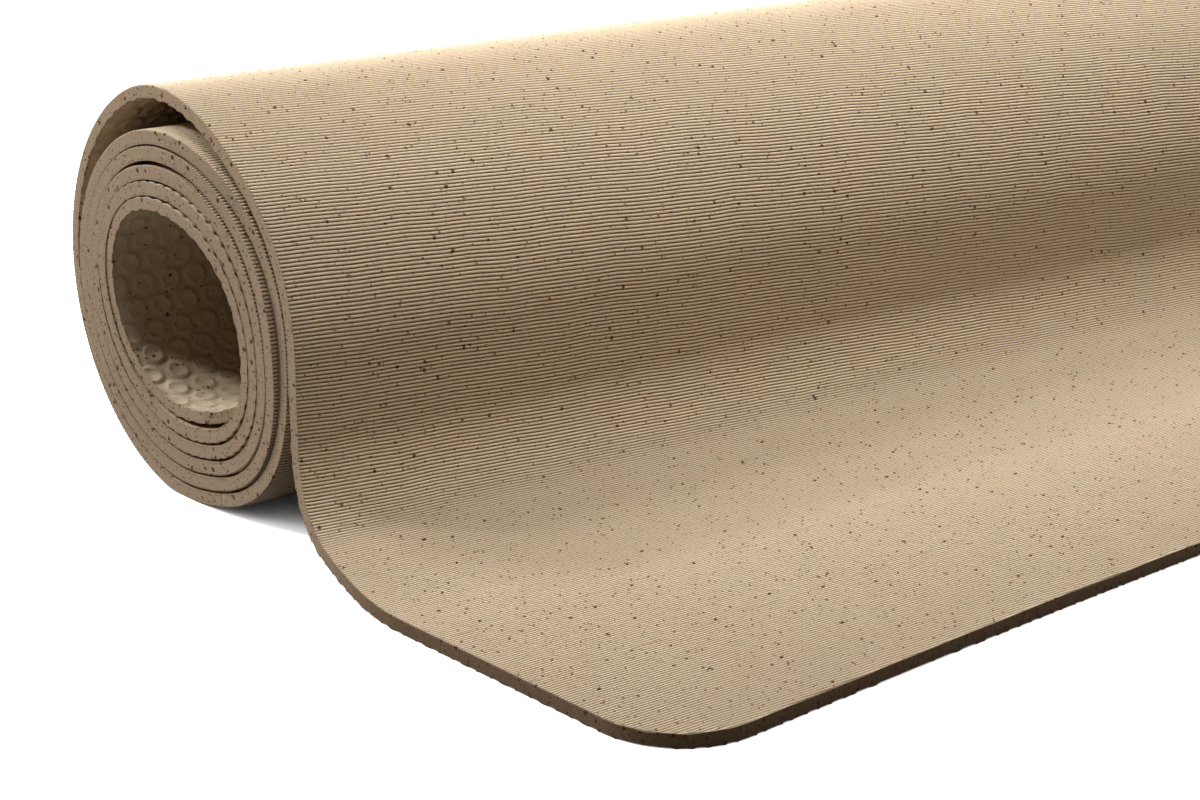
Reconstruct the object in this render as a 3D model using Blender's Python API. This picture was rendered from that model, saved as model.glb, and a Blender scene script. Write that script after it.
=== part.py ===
"""Ribbed rubber exercise mat, partly unrolled.

The mat is one moulded sheet. Most of it is wound up in a roll with a loose outer turn. The sheet
comes down the near side of the roll, bends outward on a ramp and lies flat on the floor as a flap.
The roll and its ramp are one unbroken wound solid. The flap is cut into strips at the lines where
it flexes, so that it can be lifted and curled.

Frame: X along the roll's axis, -Y towards the flap's front edge, +Z up, floor at Z = 0, and the
origin at the bottom centre of the whole shape's box. Metres.
"""

import math

import bmesh
import bpy

MM = 0.001

# The sheet
SHEET_WIDTH = 610 * MM
SHEET_THICKNESS = 4.1 * MM
CORNER_RADIUS = 25 * MM
EDGE_ROUND = 0.6 * MM

# The wound roll
ROLL_RADIUS = 55.9 * MM
TURN_GAP = 0.5 * MM
CONTACT_FLAT_DEPTH = 0.6 * MM
WOUND_TURNS = 5.92
POINTS_PER_TURN = 24

# The loose outer turn stands off the turns below it over the top of the roll
LOOSE_RISE = 8.5 * MM
LOOSE_START_DEG = 57
LOOSE_PEAK_DEG = 115
LOOSE_END_DEG = 248

# The turns bulge where their own weight presses them out, low on the near side under the ramp
BULGE_RISE = 3.9 * MM
BULGE_CENTRE_DEG = 318
BULGE_HALF_DEG = 42
BULGE_FADE_DEG = 2400

# The roll's ends sit further along +X than the flap's side edges
ROLL_SETBACK = 14.1 * MM
SETBACK_START = 22.5 * MM

# The ramp from the roll down to the floor, as radii of the sheet's middle surface
RAMP_RADIUS = 25.6 * MM
RAMP_TURN_DEG = 80.1
FOOT_RADIUS = 268 * MM
RAMP_STEP_DEG = 8
FOOT_STEP_DEG = 3.3

# The flap and its strips, named from the ramp to the front edge
FLAP_LENGTH = 103.5 * MM
FLAP_STRIPS = ("flap_rear", "flap_middle", "flap_front")
FLEX_GAP = 0.3 * MM
CORNER_STEPS = 9

# Finish
RUBBER_COLOUR = (0.44, 0.33, 0.22, 1.0)
RUBBER_ROUGHNESS = 0.85
STRIP_SHADE_STEP = 0.04

HALF_THICKNESS = SHEET_THICKNESS / 2
TURN_PITCH = SHEET_THICKNESS + TURN_GAP
BOTTOM_DEG = 270
FULL_TURN_DEG = 360
RIGHT_ANGLE_DEG = 90
CENTRE_HEIGHT = ROLL_RADIUS - CONTACT_FLAT_DEPTH


def clear_scene():
    """Remove every object of the open scene."""
    for item in list(bpy.context.scene.objects):
        bpy.data.objects.remove(item, do_unlink=True)


def rubber(name, shade):
    """Matt beige rubber; shade lightens or darkens it a little so that the strips can be told apart."""
    material = bpy.data.materials.new(name)
    material.use_nodes = True
    shader = material.node_tree.nodes["Principled BSDF"]
    red, green, blue, alpha = RUBBER_COLOUR
    shader.inputs["Base Color"].default_value = (red * shade, green * shade, blue * shade, alpha)
    shader.inputs["Roughness"].default_value = RUBBER_ROUGHNESS
    shader.inputs["Metallic"].default_value = 0
    return material


def ease(share):
    """Smooth step from 0 to 1."""
    share = min(max(share, 0), 1)
    return share * share * (3 - 2 * share)


def loose_rise(angle_deg):
    """How far the outer turn stands off its even spiral at an angle round the roll."""
    if angle_deg < LOOSE_PEAK_DEG:
        share = (angle_deg - LOOSE_START_DEG) / (LOOSE_PEAK_DEG - LOOSE_START_DEG)
    else:
        share = (LOOSE_END_DEG - angle_deg) / (LOOSE_END_DEG - LOOSE_PEAK_DEG)
    return LOOSE_RISE * ease(share)


def bulge_rise(angle_deg):
    """How far a turn bulges beyond its even spiral, less on each turn towards the inner end."""
    off_centre = abs(angle_deg % FULL_TURN_DEG - BULGE_CENTRE_DEG)
    if off_centre >= BULGE_HALF_DEG:
        return 0
    fade = 1 - (angle_deg - BULGE_CENTRE_DEG) / BULGE_FADE_DEG
    swell = math.cos(math.radians(RIGHT_ANGLE_DEG * off_centre / BULGE_HALF_DEG)) ** 2
    return BULGE_RISE * fade * swell


def turn_radius(angle_deg):
    """Radius of the sheet's middle surface at an angle round the roll.

    The angle starts at the near side, level with the roll's axis, and grows over the top, down the
    far side and under the roll, one full circle for each turn towards the inner end.
    """
    even = ROLL_RADIUS - HALF_THICKNESS + TURN_PITCH * (BOTTOM_DEG - angle_deg) / FULL_TURN_DEG
    return even + loose_rise(angle_deg) + bulge_rise(angle_deg)


def turn_point(angle_deg):
    """Point of the middle surface in the (Y, Z) plane, measured from the roll's axis line."""
    angle = math.radians(angle_deg)
    radius = turn_radius(angle_deg)
    return (-radius * math.cos(angle), CENTRE_HEIGHT + radius * math.sin(angle))


def wound_points():
    """Middle-surface points from the inner end to the near side of the roll, all at even angles."""
    step = FULL_TURN_DEG / POINTS_PER_TURN
    count = round(WOUND_TURNS * POINTS_PER_TURN)
    angles = [(index - 0.5) * step for index in range(count, 0, -1)]
    return [turn_point(angle) for angle in angles] + [turn_point(0)]


def ramp_points():
    """Middle-surface points from the near side of the roll down to the flat flap."""
    foot_turn = math.radians(RIGHT_ANGLE_DEG - RAMP_TURN_DEG)
    ramp_turn = math.radians(RAMP_TURN_DEG)
    near_side = turn_point(0)[0]
    foot_rise = FOOT_RADIUS * (1 - math.cos(foot_turn))
    bend_top = HALF_THICKNESS + foot_rise + RAMP_RADIUS * math.sin(ramp_turn)
    bend_centre = (near_side - RAMP_RADIUS, bend_top)
    points = [bend_point(bend_centre, RAMP_RADIUS, share * ramp_turn) for share in shares(RAMP_TURN_DEG, RAMP_STEP_DEG)]
    foot_start = points[-1][0]
    foot_end = foot_start - FOOT_RADIUS * math.sin(foot_turn)
    foot_centre = (foot_end, HALF_THICKNESS + FOOT_RADIUS)
    for share in shares(RIGHT_ANGLE_DEG - RAMP_TURN_DEG, FOOT_STEP_DEG)[1:]:
        points.append(bend_point(foot_centre, FOOT_RADIUS, ramp_turn + share * foot_turn))
    return points


def bend_point(centre, radius, turned):
    """Point on a bend that starts straight down and turns outward by an angle."""
    return (centre[0] + radius * math.cos(turned), centre[1] - radius * math.sin(turned))


def shares(whole_deg, step_deg):
    """Even shares from 0 to 1 for a bend that is drawn in steps of about step_deg."""
    count = max(1, round(whole_deg / step_deg))
    return [index / count for index in range(count + 1)]


def corner_inset(distance):
    """How far a rounded corner draws the side edge in, at a distance from the sheet's end."""
    if distance >= CORNER_RADIUS:
        return 0
    reach = CORNER_RADIUS - max(distance, 0)
    return CORNER_RADIUS - math.sqrt(max(CORNER_RADIUS ** 2 - reach ** 2, 0))


def corner_distances():
    """Distances from the sheet's end at which a rounded corner gets a point, nearest the end first."""
    quarter = math.radians(RIGHT_ANGLE_DEG)
    return [CORNER_RADIUS * (1 - math.cos(quarter * index / CORNER_STEPS)) for index in range(1, CORNER_STEPS + 1)]


def split_at_corner(points):
    """Add points to the inner end of a path so that the rounded corners there are smooth."""
    marks = corner_distances()
    lengths = running_lengths(points)
    added = [(mark, point_at(points, lengths, mark)) for mark in marks]
    kept = [(length, point) for length, point in zip(lengths, points)
            if length == 0 or all(abs(length - mark) > SHEET_THICKNESS / 4 for mark in marks)]
    return [point for length, point in sorted(added + kept)]


def running_lengths(points):
    """Distance along the path from its first point to each point."""
    lengths = [0]
    for before, after in zip(points, points[1:]):
        lengths.append(lengths[-1] + math.dist(before, after))
    return lengths


def point_at(points, lengths, distance):
    """Point of a path at a distance along it."""
    for index in range(1, len(points)):
        if lengths[index] >= distance:
            share = (distance - lengths[index - 1]) / (lengths[index] - lengths[index - 1])
            before, after = points[index - 1], points[index]
            return tuple(a + share * (b - a) for a, b in zip(before, after))
    return points[-1]


def rib_side_normals(points):
    """Unit normals of a path towards the ribbed side: outward on the roll and upward on the flap."""
    normals = []
    last = len(points) - 1
    for index in range(len(points)):
        before = points[max(index - 1, 0)]
        after = points[min(index + 1, last)]
        run = math.dist(before, after)
        normals.append(((after[1] - before[1]) / run, -(after[0] - before[0]) / run))
    return normals


def setbacks(points):
    """How far along +X each point of the roll's path sits from the flap: all of it on the wound
    turns, and less and less down the ramp.
    """
    lengths = running_lengths(points)
    near_side = max(index for index, point in enumerate(points) if point[1] >= CENTRE_HEIGHT)
    start = lengths[near_side] + SETBACK_START
    return [ROLL_SETBACK * (1 - ease((length - start) / (lengths[-1] - start))) for length in lengths]


def sheet_solid(name, points, insets, setback, shade):
    """Closed solid of a stretch of sheet that follows a path in the (Y, Z) plane.

    Each point of the path gets a cross-section of the sheet with its four long edges rounded off.
    An inset draws both side edges of that cross-section in, and a setback moves it along +X.
    """
    mesh = bpy.data.meshes.new(name)
    build = bmesh.new()
    rings = []
    for (y, z), (normal_y, normal_z), inset, back in zip(points, rib_side_normals(points), insets, setback):
        side = SHEET_WIDTH / 2 - inset
        section = [(side - EDGE_ROUND, HALF_THICKNESS), (side, HALF_THICKNESS - EDGE_ROUND)]
        section += [(x, -height) for x, height in reversed(section)]
        section += [(-x, height) for x, height in reversed(section)]
        ring = []
        for x, height in section:
            low = max(z + height * normal_z, 0)
            ring.append(build.verts.new((x + back - ROLL_SETBACK / 2, y + height * normal_y, low)))
        rings.append(ring)
    count = len(rings[0])
    for first, second in zip(rings, rings[1:]):
        for index in range(count):
            after = (index + 1) % count
            build.faces.new((first[index], first[after], second[after], second[index]))
    build.faces.new(list(reversed(rings[0])))
    build.faces.new(rings[-1])
    bmesh.ops.recalc_face_normals(build, faces=build.faces)
    build.to_mesh(mesh)
    build.free()
    mesh.materials.append(rubber(name + "_rubber", shade))
    mesh.shade_smooth()
    mesh.set_sharp_from_angle(angle=math.radians(40))
    part = bpy.data.objects.new(name, mesh)
    bpy.context.scene.collection.objects.link(part)
    return part


def least_turn_gap(points):
    """Least gap between the faces of neighbouring turns, measured on the wound solid's points."""
    normals = rib_side_normals(points)
    outer = [(y + HALF_THICKNESS * ny, z + HALF_THICKNESS * nz) for (y, z), (ny, nz) in zip(points, normals)]
    inner = [(y - HALF_THICKNESS * ny, z - HALF_THICKNESS * nz) for (y, z), (ny, nz) in zip(points, normals)]
    least = None
    for index, point in enumerate(outer):
        for other in range(index + POINTS_PER_TURN // 2, len(inner) - 1):
            gap = distance_to_segment(point, inner[other], inner[other + 1])
            least = gap if least is None else min(least, gap)
    for index, point in enumerate(inner):
        for other in range(0, index - POINTS_PER_TURN // 2):
            least = min(least, distance_to_segment(point, outer[other], outer[other + 1]))
    return least


def distance_to_segment(point, start, end):
    """Distance from a point to a straight stretch between two points."""
    run = (end[0] - start[0], end[1] - start[1])
    length_squared = run[0] ** 2 + run[1] ** 2
    share = ((point[0] - start[0]) * run[0] + (point[1] - start[1]) * run[1]) / length_squared
    share = min(max(share, 0), 1)
    return math.dist(point, (start[0] + share * run[0], start[1] + share * run[1]))


def build_mat():
    """Build the wound roll and the strips of the flap, centred over the origin."""
    wound = split_at_corner(wound_points())
    ramp = ramp_points()
    roll_path = wound + ramp
    flap_start = roll_path[-1][0]
    front = flap_start - FLAP_LENGTH
    back = max(y + HALF_THICKNESS * ny for (y, z), (ny, nz) in zip(wound, rib_side_normals(wound)))
    shift = -(front + back) / 2

    roll_path[-1] = (flap_start + FLEX_GAP / 2, HALF_THICKNESS)
    lengths = running_lengths(roll_path)
    insets = [corner_inset(length) for length in lengths]
    roll = [(y + shift, z) for y, z in roll_path]
    sheet_solid("mat_roll", roll, insets, setbacks(roll_path), 1)

    strip_length = FLAP_LENGTH / len(FLAP_STRIPS)
    for index, name in enumerate(FLAP_STRIPS):
        start = flap_start + shift - index * strip_length - FLEX_GAP / 2
        end = flap_start + shift - (index + 1) * strip_length + FLEX_GAP / 2
        ys = [start, end]
        if name == FLAP_STRIPS[-1]:
            end = front + shift
            ys = [start] + [end + distance for distance in reversed(corner_distances())] + [end]
        points = [(y, HALF_THICKNESS) for y in ys]
        last = name == FLAP_STRIPS[-1]
        strip_insets = [corner_inset(y - end) if last else 0 for y in ys]
        sheet_solid(name, points, strip_insets, [0] * len(ys), 1 - STRIP_SHADE_STEP * (index + 1))
        print(name, "hinge line at Y", round(start + FLEX_GAP / 2, 6), "Z", round(SHEET_THICKNESS, 6))

    print("sheet length", round(lengths[-1] + FLAP_LENGTH, 4), "m")
    print("least gap between turns", round(least_turn_gap(roll_path) / MM, 3), "mm")
    print("roll axis at Y", round(shift, 6), "Z", round(CENTRE_HEIGHT, 6))


clear_scene()
build_mat()
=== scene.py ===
"""Looks of the ribbed rubber exercise mat, partly unrolled.

The mat is one moulded sheet. Every point of it is described by flat-sheet coordinates in
millimetres: u across the sheet, v along it from the inner end of the roll to the front edge, and h
through its thickness. The sheet's path round the roll, down the ramp and over the floor turns them
into places, so ribs, rings and specks stay where the mould and the rubber put them.
"""
import math

import bpy
import numpy as np
from mathutils import Matrix


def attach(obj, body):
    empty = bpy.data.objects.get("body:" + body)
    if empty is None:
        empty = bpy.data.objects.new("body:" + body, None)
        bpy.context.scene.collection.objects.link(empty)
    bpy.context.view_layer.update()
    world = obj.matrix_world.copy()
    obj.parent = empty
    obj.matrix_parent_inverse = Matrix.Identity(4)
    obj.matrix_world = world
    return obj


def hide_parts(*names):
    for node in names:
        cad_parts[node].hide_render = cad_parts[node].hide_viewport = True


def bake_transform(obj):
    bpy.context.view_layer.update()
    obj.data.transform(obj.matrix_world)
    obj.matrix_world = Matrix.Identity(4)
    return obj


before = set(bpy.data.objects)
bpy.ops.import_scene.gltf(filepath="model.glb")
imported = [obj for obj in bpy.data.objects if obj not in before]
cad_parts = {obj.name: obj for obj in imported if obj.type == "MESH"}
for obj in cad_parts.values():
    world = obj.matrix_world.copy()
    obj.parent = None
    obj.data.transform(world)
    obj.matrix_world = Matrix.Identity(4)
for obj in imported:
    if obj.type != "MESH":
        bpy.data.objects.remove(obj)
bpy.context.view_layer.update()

MM = 0.001

# The sheet, in millimetres
HALF_WIDTH = 305.0
THICKNESS = 4.1
HALF = THICKNESS / 2
CORNER_RADIUS = 25.0
EDGE_ROUND = 0.24
FRONT_BOW = 10.0

# Ribs on the top and rings on the underside
RIB_PITCH = 1.09
RIB_SKEW = 0.058
RIB_DEPTH = 0.46
# Share of the way over a rib and the height there
RIB_SHAPE = ((0, 0), (0.2, 0.6), (0.5, 1), (0.8, 0.6), (1, 0))
RING_PITCH = 8.8
RING_ROW_PITCH = RING_PITCH * math.sqrt(3) / 2
RING_FOOT, RING_CREST, RING_DISH = 3.65, 3.15, 2.45
RING_SIDES = 12
RING_HEIGHT = 0.5
DISH_DEPTH = 0.3
# Share of the rings' height that is left where a turn presses on the next one
PRESSED = 0.2
# Relief from which the shader paints shade: 0 in a groove, 1 on a crest or rim
GROOVE_RELIEF = 0.06
BETWEEN_RINGS = 0.55
BARE_RELIEF = 0.7
# Height of the underside over the rings' rims where it has no rings
BARE_RISE = 0.3

# The wound roll
ROLL_RADIUS = 55.9
CENTRE_HEIGHT = 55.3
ROLL_AXIS_Y = 83.169
TURN_PITCH = 4.385
INNER_END_DEG = 2126
LOOSE_RISE = 8.06
LOOSE_START, LOOSE_PEAK, LOOSE_END = 50.8, 110.6, 239.6
BULGE_RISE = 3.73
BULGE_CENTRE, BULGE_HALF, BULGE_FADE = 318, 42, 2400
OVAL_RISE, OVAL_START, OVAL_TOP = 2.57, -0.06, 161.6
DRIFT_Y, DRIFT_Z = 1.955, 0.49
# Gaps that stand open: the turns inside an angle sit lower round a place by some millimetres
OPEN_GAPS = ((1000, 98, 46, 0.75), (1580, 178, 62, 0.8), (1950, 285, 34, 0.8))

# How far the roll's end sits along +X, and how far single turns stand out of it again
ROLL_SETBACK = 14.1
SETBACK_START = 22.5
COIL_LEAN, LEAN_START, LEAN_FADE = 3.6, 350, 75
TURN_RECESS = (1.3, 0.8, 0.3)
RECESS_CENTRE, RECESS_HALF = 43, 50
END_RECESS, END_RECESS_START, END_RECESS_FADE = 0.8, 1880, 200

# Where the underside is free, by the distance past the near side or the angles, and the fades
FREE_FLAP, FREE_FLAP_FADE = 8, 10
FREE_BORE, FREE_BORE_FADE = 1745, 15
FREE_LOOP, FREE_LOOP_FADES = (50, 245), (20, 15)

# The ramp and the flap
RAMP_RADIUS = 25.6
RAMP_TURN = math.radians(80.1)
FOOT_RADIUS = 268.0
FLAP_LENGTH = 103.5
STRIP_LENGTH = FLAP_LENGTH / 3

# Where the drawn sheet is divided: degrees of the inner turn, and the angle of the outer one
INNER_TURN_DEG = 376
OUTER_TURN_START = 290
# Further in than this angle the ribs aren't seen, and the top is drawn with few points
HIDDEN_RIBS = 1250
# Rings are drawn this far in from both side edges of the outer turn, then a gap for the seam
RINGED_DEPTH = 42
SEAM_GAP = 0.002
# Tiles with rings are laid this far past a stretch's first and last line before the cut
TILE_MARGIN = 12

# Points nearer than WELD are one, and a point nearer than ON_LINE to a line is on it
WELD = 0.004
ON_LINE = 0.003
# Half the stretch over which the sheet's direction is taken
DIRECTION_REACH = 1.5


def ease(share):
    """Smooth step from 0 to 1."""
    share = np.clip(share, 0, 1)
    return share * share * (3 - 2 * share)


def swell(distance, half):
    """Smooth bump that is 1 in its middle and 0 from half on."""
    return np.where(np.abs(distance) < half, np.cos(np.pi / 2 * distance / half) ** 2, 0)


def turn_radius(a):
    """Radius of the middle surface at an angle in degrees, 0 at the near side and 90 at the top."""
    even = ROLL_RADIUS - HALF + TURN_PITCH * (270 - a) / 360
    rising = (a - LOOSE_START) / (LOOSE_PEAK - LOOSE_START)
    falling = (LOOSE_END - a) / (LOOSE_END - LOOSE_PEAK)
    loose = LOOSE_RISE * ease(np.minimum(rising, falling))
    fade = 1 - (a - BULGE_CENTRE) / BULGE_FADE
    bulge = BULGE_RISE * fade * swell(a % 360 - BULGE_CENTRE, BULGE_HALF)
    inward = a / 2000
    oval = (OVAL_START + OVAL_RISE * inward) * np.cos(np.radians(2 * (a - OVAL_TOP)))
    turn = np.radians(a)
    drift = (-DRIFT_Y * np.cos(turn) - DRIFT_Z * np.sin(turn)) * inward
    opened = 0
    for first, centre, half, amount in OPEN_GAPS:
        gap = amount * swell((a - centre + 180) % 360 - 180, half)
        opened = opened + gap * ease((a - first) / 60)
    return even + loose + bulge + oval + drift - opened


def lean(a):
    """How far a turn's end stands out of the roll's end plane towards -X."""
    coil = COIL_LEAN * (1 + np.sin(np.radians(a))) / 2 * ease((a - LEAN_START) / LEAN_FADE)
    for turn, amount in enumerate(TURN_RECESS, start=1):
        coil = coil - amount * swell(a - 360 * turn - RECESS_CENTRE, RECESS_HALF)
    return coil - END_RECESS * ease((a - END_RECESS_START) / END_RECESS_FADE)


def sheet_path():
    """The middle surface in the (Y, Z) plane from the inner end to the front edge.

    Returns its points, their angles round the roll, their distances along the sheet, and the
    numbers of the points at the roll's near side and at the ramp's foot.
    """
    a = np.arange(INNER_END_DEG, -0.1, -0.5)
    radius = turn_radius(a)
    wound = np.c_[-radius * np.cos(np.radians(a)), CENTRE_HEIGHT + radius * np.sin(np.radians(a))]
    foot_turn = math.pi / 2 - RAMP_TURN
    foot_rise = FOOT_RADIUS * (1 - math.cos(foot_turn))
    bend_top = HALF + foot_rise + RAMP_RADIUS * math.sin(RAMP_TURN)
    bend_middle = wound[-1, 0] - RAMP_RADIUS
    drop = np.linspace(CENTRE_HEIGHT, bend_top, 60)[1:]
    straight = np.c_[np.full(len(drop), wound[-1, 0]), drop]
    turned = np.linspace(0, RAMP_TURN, 120)[1:]
    ramp = np.c_[bend_middle + RAMP_RADIUS * np.cos(turned),
                 bend_top - RAMP_RADIUS * np.sin(turned)]
    foot_end = ramp[-1, 0] - FOOT_RADIUS * math.sin(foot_turn)
    turned = np.linspace(RAMP_TURN, math.pi / 2, 100)[1:]
    foot = np.c_[foot_end + FOOT_RADIUS * np.cos(turned),
                 HALF + FOOT_RADIUS * (1 - np.sin(turned))]
    run_out = np.linspace(0, FLAP_LENGTH, 250)[1:]
    flap = np.c_[foot_end - run_out, np.full(len(run_out), HALF)]
    points = np.concatenate([wound, straight, ramp, foot, flap])
    angles = np.concatenate([a, np.zeros(len(points) - len(a))])
    lengths = np.concatenate([[0], np.cumsum(np.hypot(*np.diff(points, axis=0).T))])
    return points, angles, lengths, len(a) - 1, len(points) - len(flap) - 1


PATH, ANGLES, LENGTHS, NEAR_SIDE, FOOT = sheet_path()
V_NEAR = LENGTHS[NEAR_SIDE]
V_FOOT = LENGTHS[FOOT]
V_FRONT = LENGTHS[-1]


def place(flat):
    """Places in metres of flat-sheet coordinates (u, v, h)."""
    u, v, h = flat.T
    v = np.clip(v, 0, V_FRONT)
    before = [np.interp(v - DIRECTION_REACH, LENGTHS, PATH[:, k]) for k in (0, 1)]
    after = [np.interp(v + DIRECTION_REACH, LENGTHS, PATH[:, k]) for k in (0, 1)]
    run = np.hypot(after[0] - before[0], after[1] - before[1])
    y = np.interp(v, LENGTHS, PATH[:, 0]) + h * (after[1] - before[1]) / run
    z = np.interp(v, LENGTHS, PATH[:, 1]) - h * (after[0] - before[0]) / run
    start = V_NEAR + SETBACK_START
    setback = ROLL_SETBACK * (1 - ease((v - start) / (V_FOOT - start)))
    setback = setback - lean(np.interp(v, LENGTHS, ANGLES))
    x = u + setback - ROLL_SETBACK / 2
    return np.c_[x, y + ROLL_AXIS_Y, np.maximum(z, 0)] * MM


def v_at_angle(a):
    """Distance along the sheet of an angle round the roll."""
    return float(np.interp(-a, -ANGLES[:NEAR_SIDE + 1], LENGTHS[:NEAR_SIDE + 1]))


def wander(u, v):
    """How far along the sheet a rib is off square at a place across it, as the mould's ribs are.

    Besides the skew, long and short waves with heights and wavelengths in millimetres.
    """
    slow = RIB_SKEW * u + 0.20 * np.sin(u / 9.7 + 0.9 * np.sin(v / 31)) * np.sin(v / 47 + u / 83)
    quick = 0.10 * np.sin(u / 4.1 + v / 13.7) + 0.05 * np.sin(u / 2.3 - v / 5.9)
    return slow + quick


def bow(u):
    """How far the front edge runs in towards the roll."""
    share = (u + HALF_WIDTH) / (2 * HALF_WIDTH)
    return 4 * FRONT_BOW * share * (1 - share)


class Cut:
    """A stretch of the sheet, from one distance along it to another, with its outline."""

    def __init__(self, start, end):
        self.start = start
        self.end = end
        self.is_inner = start <= 0
        self.is_front = end >= V_FRONT

    def limits(self, u):
        """First and last v of the stretch at a place across the sheet."""
        reach = np.clip(np.abs(u) - (HALF_WIDTH - CORNER_RADIUS), 0, CORNER_RADIUS)
        corner = CORNER_RADIUS - np.sqrt(CORNER_RADIUS ** 2 - reach ** 2)
        low = corner if self.is_inner else np.full(u.shape, self.start)
        high = V_FRONT - bow(u) - corner if self.is_front else np.full(u.shape, self.end)
        return low, high

    def depth(self, u, v):
        """Distance inside the sheet's own outline, which an inner cut is no part of."""
        distance = HALF_WIDTH - np.abs(u)
        for is_end, depth in ((self.is_inner, v), (self.is_front, V_FRONT - bow(u) - v)):
            if is_end:
                p = np.abs(u) - (HALF_WIDTH - CORNER_RADIUS)
                q = CORNER_RADIUS - depth
                in_corner = (p > 0) & (q > 0)
                distance = np.minimum(distance, depth)
                distance = np.where(in_corner, CORNER_RADIUS - np.hypot(p, q), distance)
        return distance

    def from_edge(self, u, v):
        """Distance from the outline, 0 on it and outside."""
        return np.maximum(self.depth(u, v), 0)


def rib_height(u, v):
    """Height of the top's ribs over their grooves, from 0 to 1."""
    phase = ((v - wander(u, v)) / RIB_PITCH) % 1
    return np.interp(phase, *zip(*RIB_SHAPE))


def rib_crest(u, v):
    """0 in the grooves, 1 on the ribs' crests and straight between them."""
    return 1 - np.abs(2 * (((v - wander(u, v)) / RIB_PITCH) % 1) - 1)


def ring_distance(u, v):
    """Distance to the middle of the nearest ring of the underside."""
    nearest = np.full(u.shape, 1e9)
    row = np.floor(v / RING_ROW_PITCH)
    for step in (0, 1):
        shift = RING_PITCH / 2 * ((row + step) % 2)
        column = np.round((u - shift) / RING_PITCH)
        away = np.hypot(u - shift - column * RING_PITCH, v - (row + step) * RING_ROW_PITCH)
        nearest = np.minimum(nearest, away)
    return nearest


def openness(v):
    """1 where the underside is free and 0 where a turn presses on the next one."""
    a = np.interp(v, LENGTHS, ANGLES)
    flap = ease((v - V_NEAR - FREE_FLAP) / FREE_FLAP_FADE)
    bore = ease((a - FREE_BORE) / FREE_BORE_FADE)
    loop = ease((a - FREE_LOOP[0]) / FREE_LOOP_FADES[0])
    loop = loop * ease((FREE_LOOP[1] - a) / FREE_LOOP_FADES[1])
    return np.maximum(flap, np.maximum(bore, loop))


def ring_relief(u, v):
    """How far the underside stands out, 1 on a ring's rim and 0 between the rings."""
    dish = 1 - DISH_DEPTH / RING_HEIGHT
    distances = (0, RING_DISH, RING_CREST, RING_FOOT)
    return np.interp(ring_distance(u, v), distances, (dish * 0.8, dish, 1, 0))


def top_height(cut, u, v):
    """Height h of the top side."""
    inside = np.minimum(cut.from_edge(u, v), EDGE_ROUND)
    rounding = EDGE_ROUND - np.sqrt(np.maximum(EDGE_ROUND ** 2 - (EDGE_ROUND - inside) ** 2, 0))
    return HALF - RIB_DEPTH * (1 - rib_height(u, v)) - rounding


def bottom_height(u, v):
    """Height h of the underside."""
    share = PRESSED + (1 - PRESSED) * openness(v)
    return -HALF + RING_HEIGHT * (1 - ring_relief(u, v)) * share


class Patch:
    """Points (u, v, h, relief) and triangles of one side of a piece."""

    def __init__(self, points, faces):
        self.points = points
        self.faces = faces

    def sides(self):
        """Pairs of point numbers, one for each side of each triangle."""
        return np.concatenate([self.faces[:, pair] for pair in ((0, 1), (1, 2), (2, 0))])

    def outline(self):
        """Numbers of the points on the outline, where a triangle's side has no neighbour."""
        sides, uses = np.unique(np.sort(self.sides(), axis=1), axis=0, return_counts=True)
        return np.unique(sides[uses == 1])


def merged(points, faces):
    """Patch with doubled points joined and the triangles that this flattens dropped."""
    keys = np.round(points[:, :3] / WELD).astype(np.int64)
    first, number = np.unique(keys, axis=0, return_index=True, return_inverse=True)[1:]
    faces = number.reshape(-1)[faces]
    a, b, c = faces.T
    return Patch(points[first], faces[(a != b) & (b != c) & (c != a)])


def clipped(patch, depth, line=None):
    """Patch cut off where a depth worked out at its points is below 0.

    New points lie where the depth is 0 along a triangle's side. Where the cut follows a line of u
    or v, line is its column and value, and the new points get that value itself.
    """
    s = depth(patch.points)
    s = np.where(np.abs(s) < WELD, 0, s)
    inside = s >= 0
    count = inside[patch.faces].sum(axis=1)
    triangles, made = [patch.faces[count == 3]], {}
    for face in patch.faces[(count > 0) & (count < 3)]:
        polygon = []
        for a, b in zip(face, np.roll(face, -1)):
            if inside[a]:
                polygon.append(a)
            if inside[a] != inside[b] and s[a] != 0 and s[b] != 0:
                low, high = min(a, b), max(a, b)
                if (low, high) not in made:
                    share = s[low] / (s[low] - s[high])
                    point = patch.points[low] * (1 - share) + patch.points[high] * share
                    made[low, high] = (len(patch.points) + len(made), point)
                polygon.append(made[low, high][0])
        triangles += [[(polygon[0], *pair)] for pair in zip(polygon[1:], polygon[2:])]
    points = patch.points
    if made:
        new = np.array([point for number, point in made.values()])
        if line:
            new[:, line[0]] = line[1]
        points = np.concatenate([points, new])
    faces = np.concatenate([np.array(part).reshape(-1, 3) for part in triangles])
    used, faces = np.unique(faces, return_inverse=True)
    return Patch(points[used], faces.reshape(-1, 3))


def cut_over(patch, axis, limit):
    """Patch with what lies over a limit of u (axis 0) or v (axis 1) cut off."""
    return clipped(patch, lambda p: limit - p[:, axis], (axis, limit))


def cut_under(patch, axis, limit):
    """Patch with what lies under a limit of u (axis 0) or v (axis 1) cut off."""
    return clipped(patch, lambda p: p[:, axis] - limit, (axis, limit))


def trimmed(cut, patch):
    """Patch cut off along the sheet's own outline and the stretch's first and last line."""
    if cut.is_inner or cut.is_front:
        patch = clipped(patch, lambda p: cut.depth(p[:, 0], p[:, 1]))
    if not cut.is_inner:
        patch = cut_under(patch, 1, cut.start)
    if not cut.is_front:
        patch = cut_over(patch, 1, cut.end)
    return patch


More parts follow.
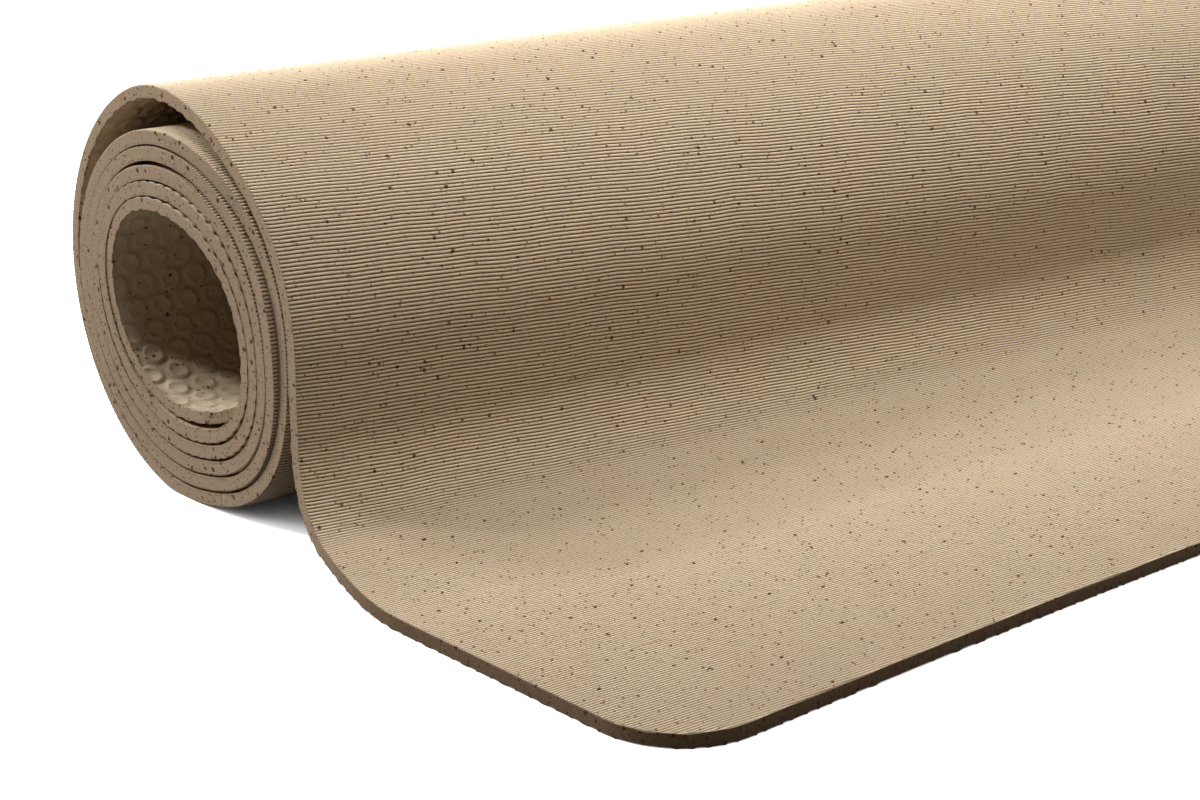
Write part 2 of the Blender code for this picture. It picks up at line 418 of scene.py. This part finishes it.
def grid_faces(rows, columns):
    """Two triangles in each mesh of a grid, facing up if rows run along v and columns along u."""
    numbers = np.arange(rows * columns).reshape(rows, columns)
    a, b, c, d = numbers[:-1, :-1], numbers[:-1, 1:], numbers[1:, 1:], numbers[1:, :-1]
    quads = np.stack([a, b, c, d], -1).reshape(-1, 4)
    return np.concatenate([quads[:, (0, 1, 2)], quads[:, (0, 2, 3)]])


def ribbed_side(cut, columns, rows):
    """The top of a stretch."""
    low, high = cut.limits(columns)
    # A rib's v depends on how far it wanders at that v, so it is worked out in steps
    v = rows[:, None]
    for _ in range(4):
        v = rows[:, None] + wander(columns, v)
    if cut.is_inner:
        v = np.maximum(v, low + EDGE_ROUND)
        v = np.concatenate([[low, low + EDGE_ROUND / 3], v])
    if cut.is_front:
        v = np.minimum(v, high - EDGE_ROUND)
        v = np.concatenate([v, [high - EDGE_ROUND / 3, high]])
    u = np.broadcast_to(columns, v.shape)
    points = np.stack([u, v, top_height(cut, u, v), rib_crest(u, v)], -1).reshape(-1, 4)
    return trimmed(cut, merged(points, grid_faces(*v.shape)))


def plain_side(cut, columns, step, height):
    """Underside without rings, where it can't be seen."""
    low, high = cut.limits(columns)
    share = np.linspace(0, 1, max(2, round((cut.end - cut.start) / step)))[:, None]
    v = low + share * (high - low)
    u = np.broadcast_to(columns, v.shape)
    flat = [np.full(v.shape, value) for value in (height, BARE_RELIEF)]
    points = np.stack([u, v, *flat], -1).reshape(-1, 4)
    return merged(points, grid_faces(*v.shape)[:, ::-1])


def ring_tile():
    """Offsets (u, v) of the points of one six-sided tile with its ring, and its triangles."""
    turn = np.arange(RING_SIDES) * 2 * np.pi / RING_SIDES
    border = RING_PITCH / 2 / np.cos((turn + np.pi / 6) % (np.pi / 3) - np.pi / 6)
    loops = [np.c_[radius * np.cos(turn), radius * np.sin(turn)]
             for radius in (border, RING_FOOT, RING_CREST, RING_DISH)]
    middle = len(loops) * RING_SIDES
    triangles = []
    for k in range(RING_SIDES):
        after = (k + 1) % RING_SIDES
        for inner in range(RING_SIDES, middle, RING_SIDES):
            outer = inner - RING_SIDES
            triangles += [(outer + k, outer + after, inner + after),
                          (outer + k, inner + after, inner + k)]
        triangles.append((middle - RING_SIDES + k, middle - RING_SIDES + after, middle))
    return np.concatenate(loops + [np.zeros((1, 2))]), np.array(triangles)


def ringed_side(cut, u_low, u_high):
    """Underside with rings between two places across the sheet, made of six-sided tiles."""
    rows = np.arange(math.floor(cut.start / RING_ROW_PITCH) - 1,
                     math.ceil(cut.end / RING_ROW_PITCH) + 2)
    columns = np.arange(math.floor(u_low / RING_PITCH) - 1, math.ceil(u_high / RING_PITCH) + 2)
    middles = np.array([((column + 0.5 * (row % 2)) * RING_PITCH, row * RING_ROW_PITCH)
                        for row in rows for column in columns])
    reach = RING_PITCH / math.sqrt(3)
    low, high = cut.limits(np.clip(middles[:, 0], -HALF_WIDTH, HALF_WIDTH))
    near = (middles[:, 0] > u_low - reach) & (middles[:, 0] < u_high + reach)
    near &= (middles[:, 1] > low - reach - TILE_MARGIN)
    near &= (middles[:, 1] < high + reach + TILE_MARGIN)
    offsets, triangles = ring_tile()
    places = middles[near][:, None, :] + offsets[None, :, :]
    u, v = places[..., 0], places[..., 1]
    relief = BETWEEN_RINGS + (1 - BETWEEN_RINGS) * ring_relief(u, v)
    points = np.stack([u, v, bottom_height(u, v), relief], -1).reshape(-1, 4)
    starts = np.arange(len(places))[:, None, None] * len(offsets)
    faces = (starts + triangles[None, :, ::-1]).reshape(-1, 3)
    patch = cut_over(cut_under(merged(points, faces), 0, u_low), 0, u_high)
    return trimmed(cut, patch)


def zipped(first, first_t, second, second_t):
    """Triangles between two lines of points, each in the order of its own distances."""
    i = j = 0
    tris = []
    while i < len(first) - 1 or j < len(second) - 1:
        if j == len(second) - 1 or (i < len(first) - 1 and first_t[i + 1] <= second_t[j + 1]):
            tris.append((first[i], first[i + 1], second[j]))
            i += 1
        else:
            tris.append((first[i], second[j + 1], second[j]))
            j += 1
    return np.array(tris)


def ringed_ends(cut):
    """Underside with rings only near both side edges, and the two seams closed."""
    seam = HALF_WIDTH - RINGED_DEPTH
    left = ringed_side(cut, -HALF_WIDTH, -seam)
    columns = np.linspace(-(seam - SEAM_GAP), seam - SEAM_GAP, 13)
    middle = plain_side(cut, columns, 3, BARE_RISE - HALF)
    right = ringed_side(cut, seam, HALF_WIDTH)
    patches = (left, middle, right)
    starts = np.cumsum([0] + [len(patch.points) for patch in patches])
    faces = [patch.faces + start for patch, start in zip(patches, starts)]
    for seam_u, outer, turn in ((-seam, 0, 1), (seam, 2, -1)):
        lines = []
        for number in (outer, 1):
            patch = patches[number]
            line = patch.outline()
            line = line[np.abs(patch.points[line, 0] - seam_u) < ON_LINE]
            line = line[np.argsort(patch.points[line, 1])]
            lines += [line + starts[number], patch.points[line, 1]]
        faces.append(zipped(*lines)[:, ::turn])
    return Patch(np.concatenate([patch.points for patch in patches]), np.concatenate(faces))


def ordered_outline(cut, patch):
    """Numbers of a patch's outline clockwise round the stretch's middle, and their angles."""
    line = patch.outline()
    points = patch.points[line]
    angle = -np.arctan2(points[:, 1] - (cut.start + cut.end) / 2, points[:, 0])
    order = np.argsort(angle, kind="stable")
    line, angle = line[order], angle[order]
    return np.append(line, line[0]), np.append(angle, angle[0] + 2 * np.pi)


def sharpen(mesh, pairs):
    """Mark the edges between pairs of points as sharp."""
    ends = np.zeros(2 * len(mesh.edges), dtype=np.int32)
    mesh.edges.foreach_get("vertices", ends)
    size = len(mesh.vertices)
    low, high = np.sort(ends.reshape(-1, 2), axis=1).T.astype(np.int64)
    pair_low, pair_high = np.sort(pairs, axis=1).T.astype(np.int64)
    attribute = mesh.attributes.new("sharp_edge", "BOOLEAN", "EDGE")
    attribute.data.foreach_set("value", np.isin(low * size + high, pair_low * size + pair_high))


def make_piece(name, cut, top, bottom):
    """Closed mesh object of a stretch of the sheet from its two sides."""
    top_line, top_angle = ordered_outline(cut, top)
    bottom_line, bottom_angle = ordered_outline(cut, bottom)
    count = len(top.points)
    bottom_line = bottom_line + count
    wall = zipped(top_line, top_angle, bottom_line, bottom_angle)
    points = np.concatenate([top.points, bottom.points])
    faces = np.concatenate([top.faces, bottom.faces + count, wall])
    u, v, h, relief = points.T
    edge = 1 - np.clip(cut.from_edge(u, v) / EDGE_ROUND, 0, 1)
    places = place(points[:, :3])
    corners = places[faces]
    # The triangles face inwards where the volume that they close is negative
    if np.einsum("ij,ij->", corners[:, 0], np.cross(corners[:, 1], corners[:, 2])) < 0:
        faces = faces[:, ::-1]
    mesh = bpy.data.meshes.new(name)
    mesh.from_pydata(places.tolist(), [], faces.tolist())
    for label, kind, field, values in (("flat", "FLOAT_VECTOR", "vector", points[:, :3]),
                                       ("edge", "FLOAT", "value", edge),
                                       ("relief", "FLOAT", "value", relief)):
        attribute = mesh.attributes.new(label, kind, "POINT")
        values = np.ascontiguousarray(values, dtype=np.float32)
        attribute.data.foreach_set(field, values.reshape(-1))
    mesh.shade_smooth()
    sides = top.sides()
    grooves = sides[(top.points[sides, 3] < GROOVE_RELIEF).all(axis=1)]
    lines = [np.c_[line[:-1], line[1:]] for line in (top_line, bottom_line)]
    sharpen(mesh, np.concatenate(lines + [grooves]))
    mesh.materials.append(RUBBER)
    piece = bpy.data.objects.new(name, mesh)
    bpy.context.scene.collection.objects.link(piece)
    return piece


def rib_rows(cut, shares):
    """Distances along the sheet at which ribs get points, each share of the way over a rib."""
    reach = RIB_SKEW * HALF_WIDTH + 1
    ribs = np.arange(math.floor((cut.start - reach) / RIB_PITCH),
                     math.ceil((cut.end + reach) / RIB_PITCH))
    return (ribs[:, None] + np.array(shares)[None, :]).reshape(-1) * RIB_PITCH


def side_columns(count, extra=()):
    """Places across the sheet, close together at both side edges."""
    rim = [HALF_WIDTH, HALF_WIDTH - 0.07, HALF_WIDTH - EDGE_ROUND]
    middle = np.linspace(-(HALF_WIDTH - 2), HALF_WIDTH - 2, count)
    near = np.array(rim + list(extra))
    return np.unique(np.round(np.concatenate([-near, middle, near]), 6))


# Material

def shader_nodes(material):
    """Small helpers that add nodes to a material's tree: add, maths, blend_colour and spread."""
    tree = material.node_tree

    def add(kind, inputs=(), **settings):
        node = tree.nodes.new(kind)
        for key, value in settings.items():
            setattr(node, key, value)
        for key, value in dict(inputs).items():
            if isinstance(value, bpy.types.NodeSocket):
                tree.links.new(value, node.inputs[key])
            else:
                node.inputs[key].default_value = value
        return node

    def maths(operation, a, b=0.0, c=0.0):
        return add("ShaderNodeMath", {0: a, 1: b, 2: c}, operation=operation).outputs[0]

    def blend_colour(share, a, b, kind="MIX"):
        node = add("ShaderNodeMix", {0: share, 6: a, 7: b}, data_type="RGBA", blend_type=kind)
        return node.outputs[2]

    def spread(value, low, high, to_low=0.0, to_high=1.0):
        node = add("ShaderNodeMapRange", {0: value, 1: low, 2: high, 3: to_low, 4: to_high},
                   interpolation_type="SMOOTHSTEP")
        return node.outputs[0]

    return add, maths, blend_colour, spread


# Linear colours of the rubber, of the painted shade in its grooves, of its cut faces with painted
# shade on the flap's, and of the granules
BEIGE = (0.672, 0.540, 0.370, 1)
ROSY = (0.676, 0.526, 0.362, 1)
OLIVE = (0.648, 0.542, 0.370, 1)
# Painted shade for the grooves and the hollows between the rings
GROOVE_SHADE = (0.155, 0.082, 0.040, 1)
CUT_FACE = (0.50, 0.365, 0.235, 1)
# Painted shade: the flap's cut faces are much darker than the roll's
SHADED_FLAP_CUT_FACE = (0.19, 0.120, 0.066, 1)
CORK_BROWN = (0.13, 0.050, 0.018, 1)
CORK_RED = (0.24, 0.072, 0.027, 1)
CORK_BLACK = (0.055, 0.021, 0.007, 1)


def rubber_material():
    """Beige foamed rubber with cork granules all through it, and painted shade in its grooves,
    between its rings, on its underside and on the flap's cut faces.
    """
    material = bpy.data.materials.new("mat_rubber")
    material.use_nodes = True
    add, maths, blend_colour, spread = shader_nodes(material)
    shader = material.node_tree.nodes["Principled BSDF"]
    flat = add("ShaderNodeAttribute", attribute_name="flat").outputs["Vector"]
    edge = add("ShaderNodeAttribute", attribute_name="edge").outputs["Fac"]
    relief = add("ShaderNodeAttribute", attribute_name="relief").outputs["Fac"]
    places = add("ShaderNodeSeparateXYZ", {0: flat}).outputs
    along, under = places[1], spread(places[2], -1.5, -1.3, 1.0, 0.0)

    def noise(scale, detail, roughness=0.5):
        inputs = {"Vector": flat, "Scale": scale, "Detail": detail, "Roughness": roughness}
        return add("ShaderNodeTexNoise", inputs).outputs["Fac"]

    clouds = noise(0.03, 3)
    tint = noise(0.075, 3, 0.6)
    fine = noise(1.6, 3, 0.6)
    grit = noise(4.5, 2, 0.6)

    colour = blend_colour(spread(tint, 0.35, 0.72), BEIGE, ROSY)
    colour = blend_colour(maths("MULTIPLY", spread(clouds, 0.40, 0.70), 0.5), colour, OLIVE)
    # The cut faces darken from the roll to the flap, a painted shade
    cut_face_and_flap_shade = blend_colour(spread(along, V_NEAR, V_FOOT), CUT_FACE, SHADED_FLAP_CUT_FACE)
    colour = blend_colour(edge, colour, cut_face_and_flap_shade)
    grain = maths("MULTIPLY_ADD", edge, 0.5, 0.34)
    lighter = maths("ADD", 1.0, maths("MULTIPLY", maths("SUBTRACT", fine, 0.5), grain))
    lighter = maths("MULTIPLY", lighter, maths("MULTIPLY_ADD", grit, 0.30, 0.85))
    level = add("ShaderNodeCombineColor", {0: lighter, 1: lighter, 2: lighter}).outputs[0]
    colour = blend_colour(1.0, colour, level, "MULTIPLY")
    ragged = maths("ADD", relief, maths("MULTIPLY_ADD", grit, 0.5, -0.25))
    # Painted shade in the grooves and between the rings, and a little painted shade all over the
    # underside
    painted_shade = maths("MULTIPLY", spread(ragged, 0.0, 0.68, 1.0, 0.0), maths("SUBTRACT", 1.0, edge))
    underside_shade = maths("MULTIPLY_ADD", under, 0.15, maths("MULTIPLY", painted_shade, under))
    painted_shade = maths("MAXIMUM", painted_shade, underside_shade)
    colour = blend_colour(maths("MULTIPLY", painted_shade, 0.94), colour, GROOVE_SHADE)

    def vectors(operation, inputs):
        return add("ShaderNodeVectorMath", inputs, operation=operation).outputs[0]

    # Granules are looked up at places that stray a little, which makes their outlines uneven
    strayed = add("ShaderNodeTexNoise", {"Vector": flat, "Scale": 1.7, "Detail": 1.0})
    moved = vectors("SUBTRACT", {0: strayed.outputs["Color"], 1: (0.5, 0.5, 0.5)})
    where = vectors("ADD", {0: flat, 1: vectors("SCALE", {0: moved, 3: 0.9})})

    def specks(scale, size, share, seed):
        """Mask of the granules of one size and a random number for each of them."""
        shifted = vectors("ADD", {0: where, 1: (seed, seed * 2, seed * 3)})
        cells = add("ShaderNodeTexVoronoi", {"Vector": shifted, "Scale": scale})
        parts = add("ShaderNodeSeparateColor", {0: cells.outputs["Color"]})
        reach = maths("MULTIPLY", maths("MULTIPLY_ADD", parts.outputs[0], 0.7, 0.3), size * scale)
        reach = maths("MULTIPLY", reach, maths("MULTIPLY_ADD", edge, 0.4, 1.0))
        present = maths("LESS_THAN", parts.outputs[1], share)
        mask = spread(maths("DIVIDE", cells.outputs["Distance"], reach), 1.05, 0.85)
        return maths("MULTIPLY", mask, present), parts.outputs[2]

    large = specks(scale=0.22, size=0.74, share=0.85, seed=3.1)
    small = specks(scale=0.50, size=0.46, share=0.9, seed=17.7)
    tiny = specks(scale=1.0, size=0.27, share=0.9, seed=41.3)
    small_strength = maths("MULTIPLY_ADD", edge, 0.2, 0.8)
    tiny_strength = maths("MULTIPLY_ADD", edge, 0.45, 0.45)
    for (mask, kind), strength in ((tiny, tiny_strength), (small, small_strength), (large, 0.95)):
        cork = blend_colour(spread(kind, 0.42, 0.46), CORK_BLACK, CORK_BROWN)
        cork = blend_colour(spread(kind, 0.8, 0.84), cork, CORK_RED)
        colour = blend_colour(maths("MULTIPLY", mask, strength), colour, cork)

    material.node_tree.links.new(colour, shader.inputs["Base Color"])
    shader.inputs["Roughness"].default_value = 0.7
    shader.inputs["Specular IOR Level"].default_value = 0.1
    height = maths("ADD", fine, maths("MULTIPLY", grit, 0.5))
    height = maths("SUBTRACT", height, maths("MULTIPLY", large[0], 0.4))
    bump = add("ShaderNodeBump", {"Height": height, "Strength": 0.7, "Distance": 0.00012})
    material.node_tree.links.new(bump.outputs[0], shader.inputs["Normal"])
    return material


RUBBER = rubber_material()

# The drawn stretches from the inner end to the front edge, each up to the next one's start
STARTS = {
    "inner_turn": 0,
    "wound_turns": v_at_angle(INNER_END_DEG - INNER_TURN_DEG),
    "outer_turn": v_at_angle(OUTER_TURN_START),
    "ramp": V_NEAR,
    "flap_back": V_FOOT + STRIP_LENGTH / 2,
    "flap_edge": V_FOOT + STRIP_LENGTH + STRIP_LENGTH / 2,
}
ENDS = [*STARTS.values(), V_FRONT][1:]
CUTS = {name: Cut(start, end) for (name, start), end in zip(STARTS.items(), ENDS)}


def build_pieces():
    """All stretches of the sheet by name."""
    fine = side_columns(61)
    corner = HALF_WIDTH - CORNER_RADIUS * (1 - np.cos(np.linspace(0.12, np.pi / 2, 12)))
    rough = side_columns(12, HALF_WIDTH - np.array((3, 5, 7, 9, 11, 14, 18, 25)))
    built = {}

    def build(name, columns, rows=None, bottom=None):
        """Ribs all over the top and rings all over the underside, unless told otherwise."""
        cut = CUTS[name]
        if rows is None:
            rows = rib_rows(cut, (0, 0.2, 0.5, 0.8))
        if bottom is None:
            bottom = ringed_side(cut, -HALF_WIDTH, HALF_WIDTH)
        built[name] = make_piece(name, cut, ribbed_side(cut, columns, rows), bottom)

    build("inner_turn", side_columns(15, corner), rib_rows(CUTS["inner_turn"], (0, 0.5))[::5])

    cut = CUTS["wound_turns"]
    rows = rib_rows(cut, (0, 0.3, 0.7))
    bare = rows < v_at_angle(HIDDEN_RIBS)
    rows = np.concatenate([rows[bare][::4], rows[~bare]])
    columns = np.linspace(-HALF_WIDTH, HALF_WIDTH, 9)
    build("wound_turns", rough, rows, plain_side(cut, columns, 2, -HALF - 0.1))

    build("outer_turn", fine, bottom=ringed_ends(CUTS["outer_turn"]))
    build("ramp", fine)
    build("flap_back", fine)
    build("flap_edge", side_columns(61, corner))
    return built


pieces = build_pieces()
for name in ("inner_turn", "wound_turns", "outer_turn"):
    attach(pieces[name], "roll")
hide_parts("mat_roll")
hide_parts("flap_rear")
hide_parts("flap_middle")
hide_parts("flap_front")

# Piece, its two bodies, and the Y at which the bend between them starts and ends
BENDS = (("ramp", "roll", "flap_rear", -0.030, -0.0525),
         ("flap_back", "flap_rear", "flap_middle", -0.0649, -0.0869),
         ("flap_edge", "flap_middle", "flap_front", -0.0994, -0.1214))
for name, fixed, moving, start, end in BENDS:
    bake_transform(pieces[name])


# Camera

CAMERA_PLACE = (-0.65381, -0.52512, 0.240885)
CAMERA_PITCH, CAMERA_YAW, CAMERA_ROLL = (math.radians(x) for x in (16.906, 40.083, 0.059))
CAMERA_LENS, SENSOR_WIDTH = 75.85, 36


def add_camera():
    """Camera at the photograph's viewpoint."""
    forward = np.array([math.sin(CAMERA_YAW) * math.cos(CAMERA_PITCH),
                        math.cos(CAMERA_YAW) * math.cos(CAMERA_PITCH), -math.sin(CAMERA_PITCH)])
    right = np.cross(forward, (0, 0, 1))
    right = right / np.linalg.norm(right)
    down = np.cross(forward, right)
    cosine, sine = math.cos(CAMERA_ROLL), math.sin(CAMERA_ROLL)
    right, down = cosine * right + sine * down, cosine * down - sine * right
    columns = np.c_[right, -down, -forward, CAMERA_PLACE]
    data = bpy.data.cameras.new("camera")
    data.lens = CAMERA_LENS
    data.sensor_width = SENSOR_WIDTH
    data.clip_start = 0.01
    camera = bpy.data.objects.new("camera", data)
    camera.matrix_world = Matrix([*columns.tolist(), [0, 0, 0, 1]])
    bpy.context.scene.collection.objects.link(camera)
    bpy.context.scene.camera = camera


# Floor and light

WHITE = (1, 1, 1, 1)
FLOOR_REACH = 6.0
FLOOR_COLOUR = (0.14, 0.13, 0.12, 1)
FLOOR_GLOW = 0.97
SKY_LEVEL = 0.015
MAT_MIDDLE = (0, 0, 0.05)
COOL = (0.97, 1, 1.08)


def seen_directly(add, maths):
    """1 for rays that carry the background to the camera, straight or by way of gloss or glass."""
    path = add("ShaderNodeLightPath")
    seen = maths("MAXIMUM", path.outputs["Is Camera Ray"], path.outputs["Is Glossy Ray"])
    return maths("MAXIMUM", seen, path.outputs["Is Transmission Ray"])


def add_floor():
    """Large pale floor that shows white and keeps a soft shadow."""
    mesh = bpy.data.meshes.new("floor")
    reach = FLOOR_REACH
    corners = [(-reach, -reach, 0), (reach, -reach, 0), (reach, reach, 0), (-reach, reach, 0)]
    mesh.from_pydata(corners, [], [(0, 1, 2, 3)])
    floor = bpy.data.objects.new("floor", mesh)
    bpy.context.scene.collection.objects.link(floor)
    material = bpy.data.materials.new("floor_white")
    material.use_nodes = True
    add, maths, blend_colour, spread = shader_nodes(material)
    tree = material.node_tree
    seen = seen_directly(add, maths)
    shader = tree.nodes["Principled BSDF"]
    shader.inputs["Roughness"].default_value = 1
    shader.inputs["Specular IOR Level"].default_value = 0
    tree.links.new(blend_colour(seen, FLOOR_COLOUR, WHITE), shader.inputs["Base Color"])
    shader.inputs["Emission Color"].default_value = WHITE
    # It doesn't glow close under the mat, where a contact shadow stays
    near = add("ShaderNodeAmbientOcclusion", {"Distance": 0.06}, samples=12).outputs["AO"]
    glow = maths("MULTIPLY", spread(near, 0.05, 0.32), FLOOR_GLOW)
    tree.links.new(maths("MULTIPLY", seen, glow), shader.inputs["Emission Strength"])
    mesh.materials.append(material)


def add_light(name, place_m, target, size, power, colour=(1, 1, 1)):
    """Soft lamp, width by height, aimed at a point."""
    data = bpy.data.lights.new(name, "AREA")
    data.shape = "RECTANGLE"
    data.size, data.size_y = size
    data.energy = power
    data.color = colour
    lamp = bpy.data.objects.new(name, data)
    back = np.array(place_m) - np.array(target)
    back = back / np.linalg.norm(back)
    right = np.array((1, 0, 0)) - back[0] * back
    right = right / np.linalg.norm(right)
    columns = np.c_[right, np.cross(back, right), back, place_m]
    lamp.matrix_world = Matrix([*columns.tolist(), [0, 0, 0, 1]])
    bpy.context.scene.collection.objects.link(lamp)


def add_world():
    """Even dim sky that shows white to the camera."""
    world = bpy.data.worlds.new("world")
    bpy.context.scene.world = world
    world.use_nodes = True
    add, maths = shader_nodes(world)[:2]
    background = world.node_tree.nodes["Background"]
    background.inputs["Color"].default_value = WHITE
    seen = seen_directly(add, maths)
    strength = maths("MULTIPLY_ADD", seen, 1 - SKY_LEVEL, SKY_LEVEL)
    world.node_tree.links.new(strength, background.inputs["Strength"])


add_camera()
add_floor()
add_world()
add_light("key", (-0.95, 1.38, 1.45), MAT_MIDDLE, (0.5, 0.12), 24.5, COOL)
add_light("key_left", (-1.32, 0.93, 1.55), MAT_MIDDLE, (0.25, 0.25), 17.5)
add_light("strip", (0.17, -0.02, 0.34), (0.17, 0.01, 0.05), (1.05, 0.16), 2.2)
add_light("back", (0.6, 1.98, 0.975), (0.1, 0, 0.05), (0.9, 0.4), 32, COOL)
add_light("front", (-0.40, -0.70, 2.1), MAT_MIDDLE, (0.8, 0.8), 5.4)
bpy.context.scene.view_settings.view_transform = "Standard"
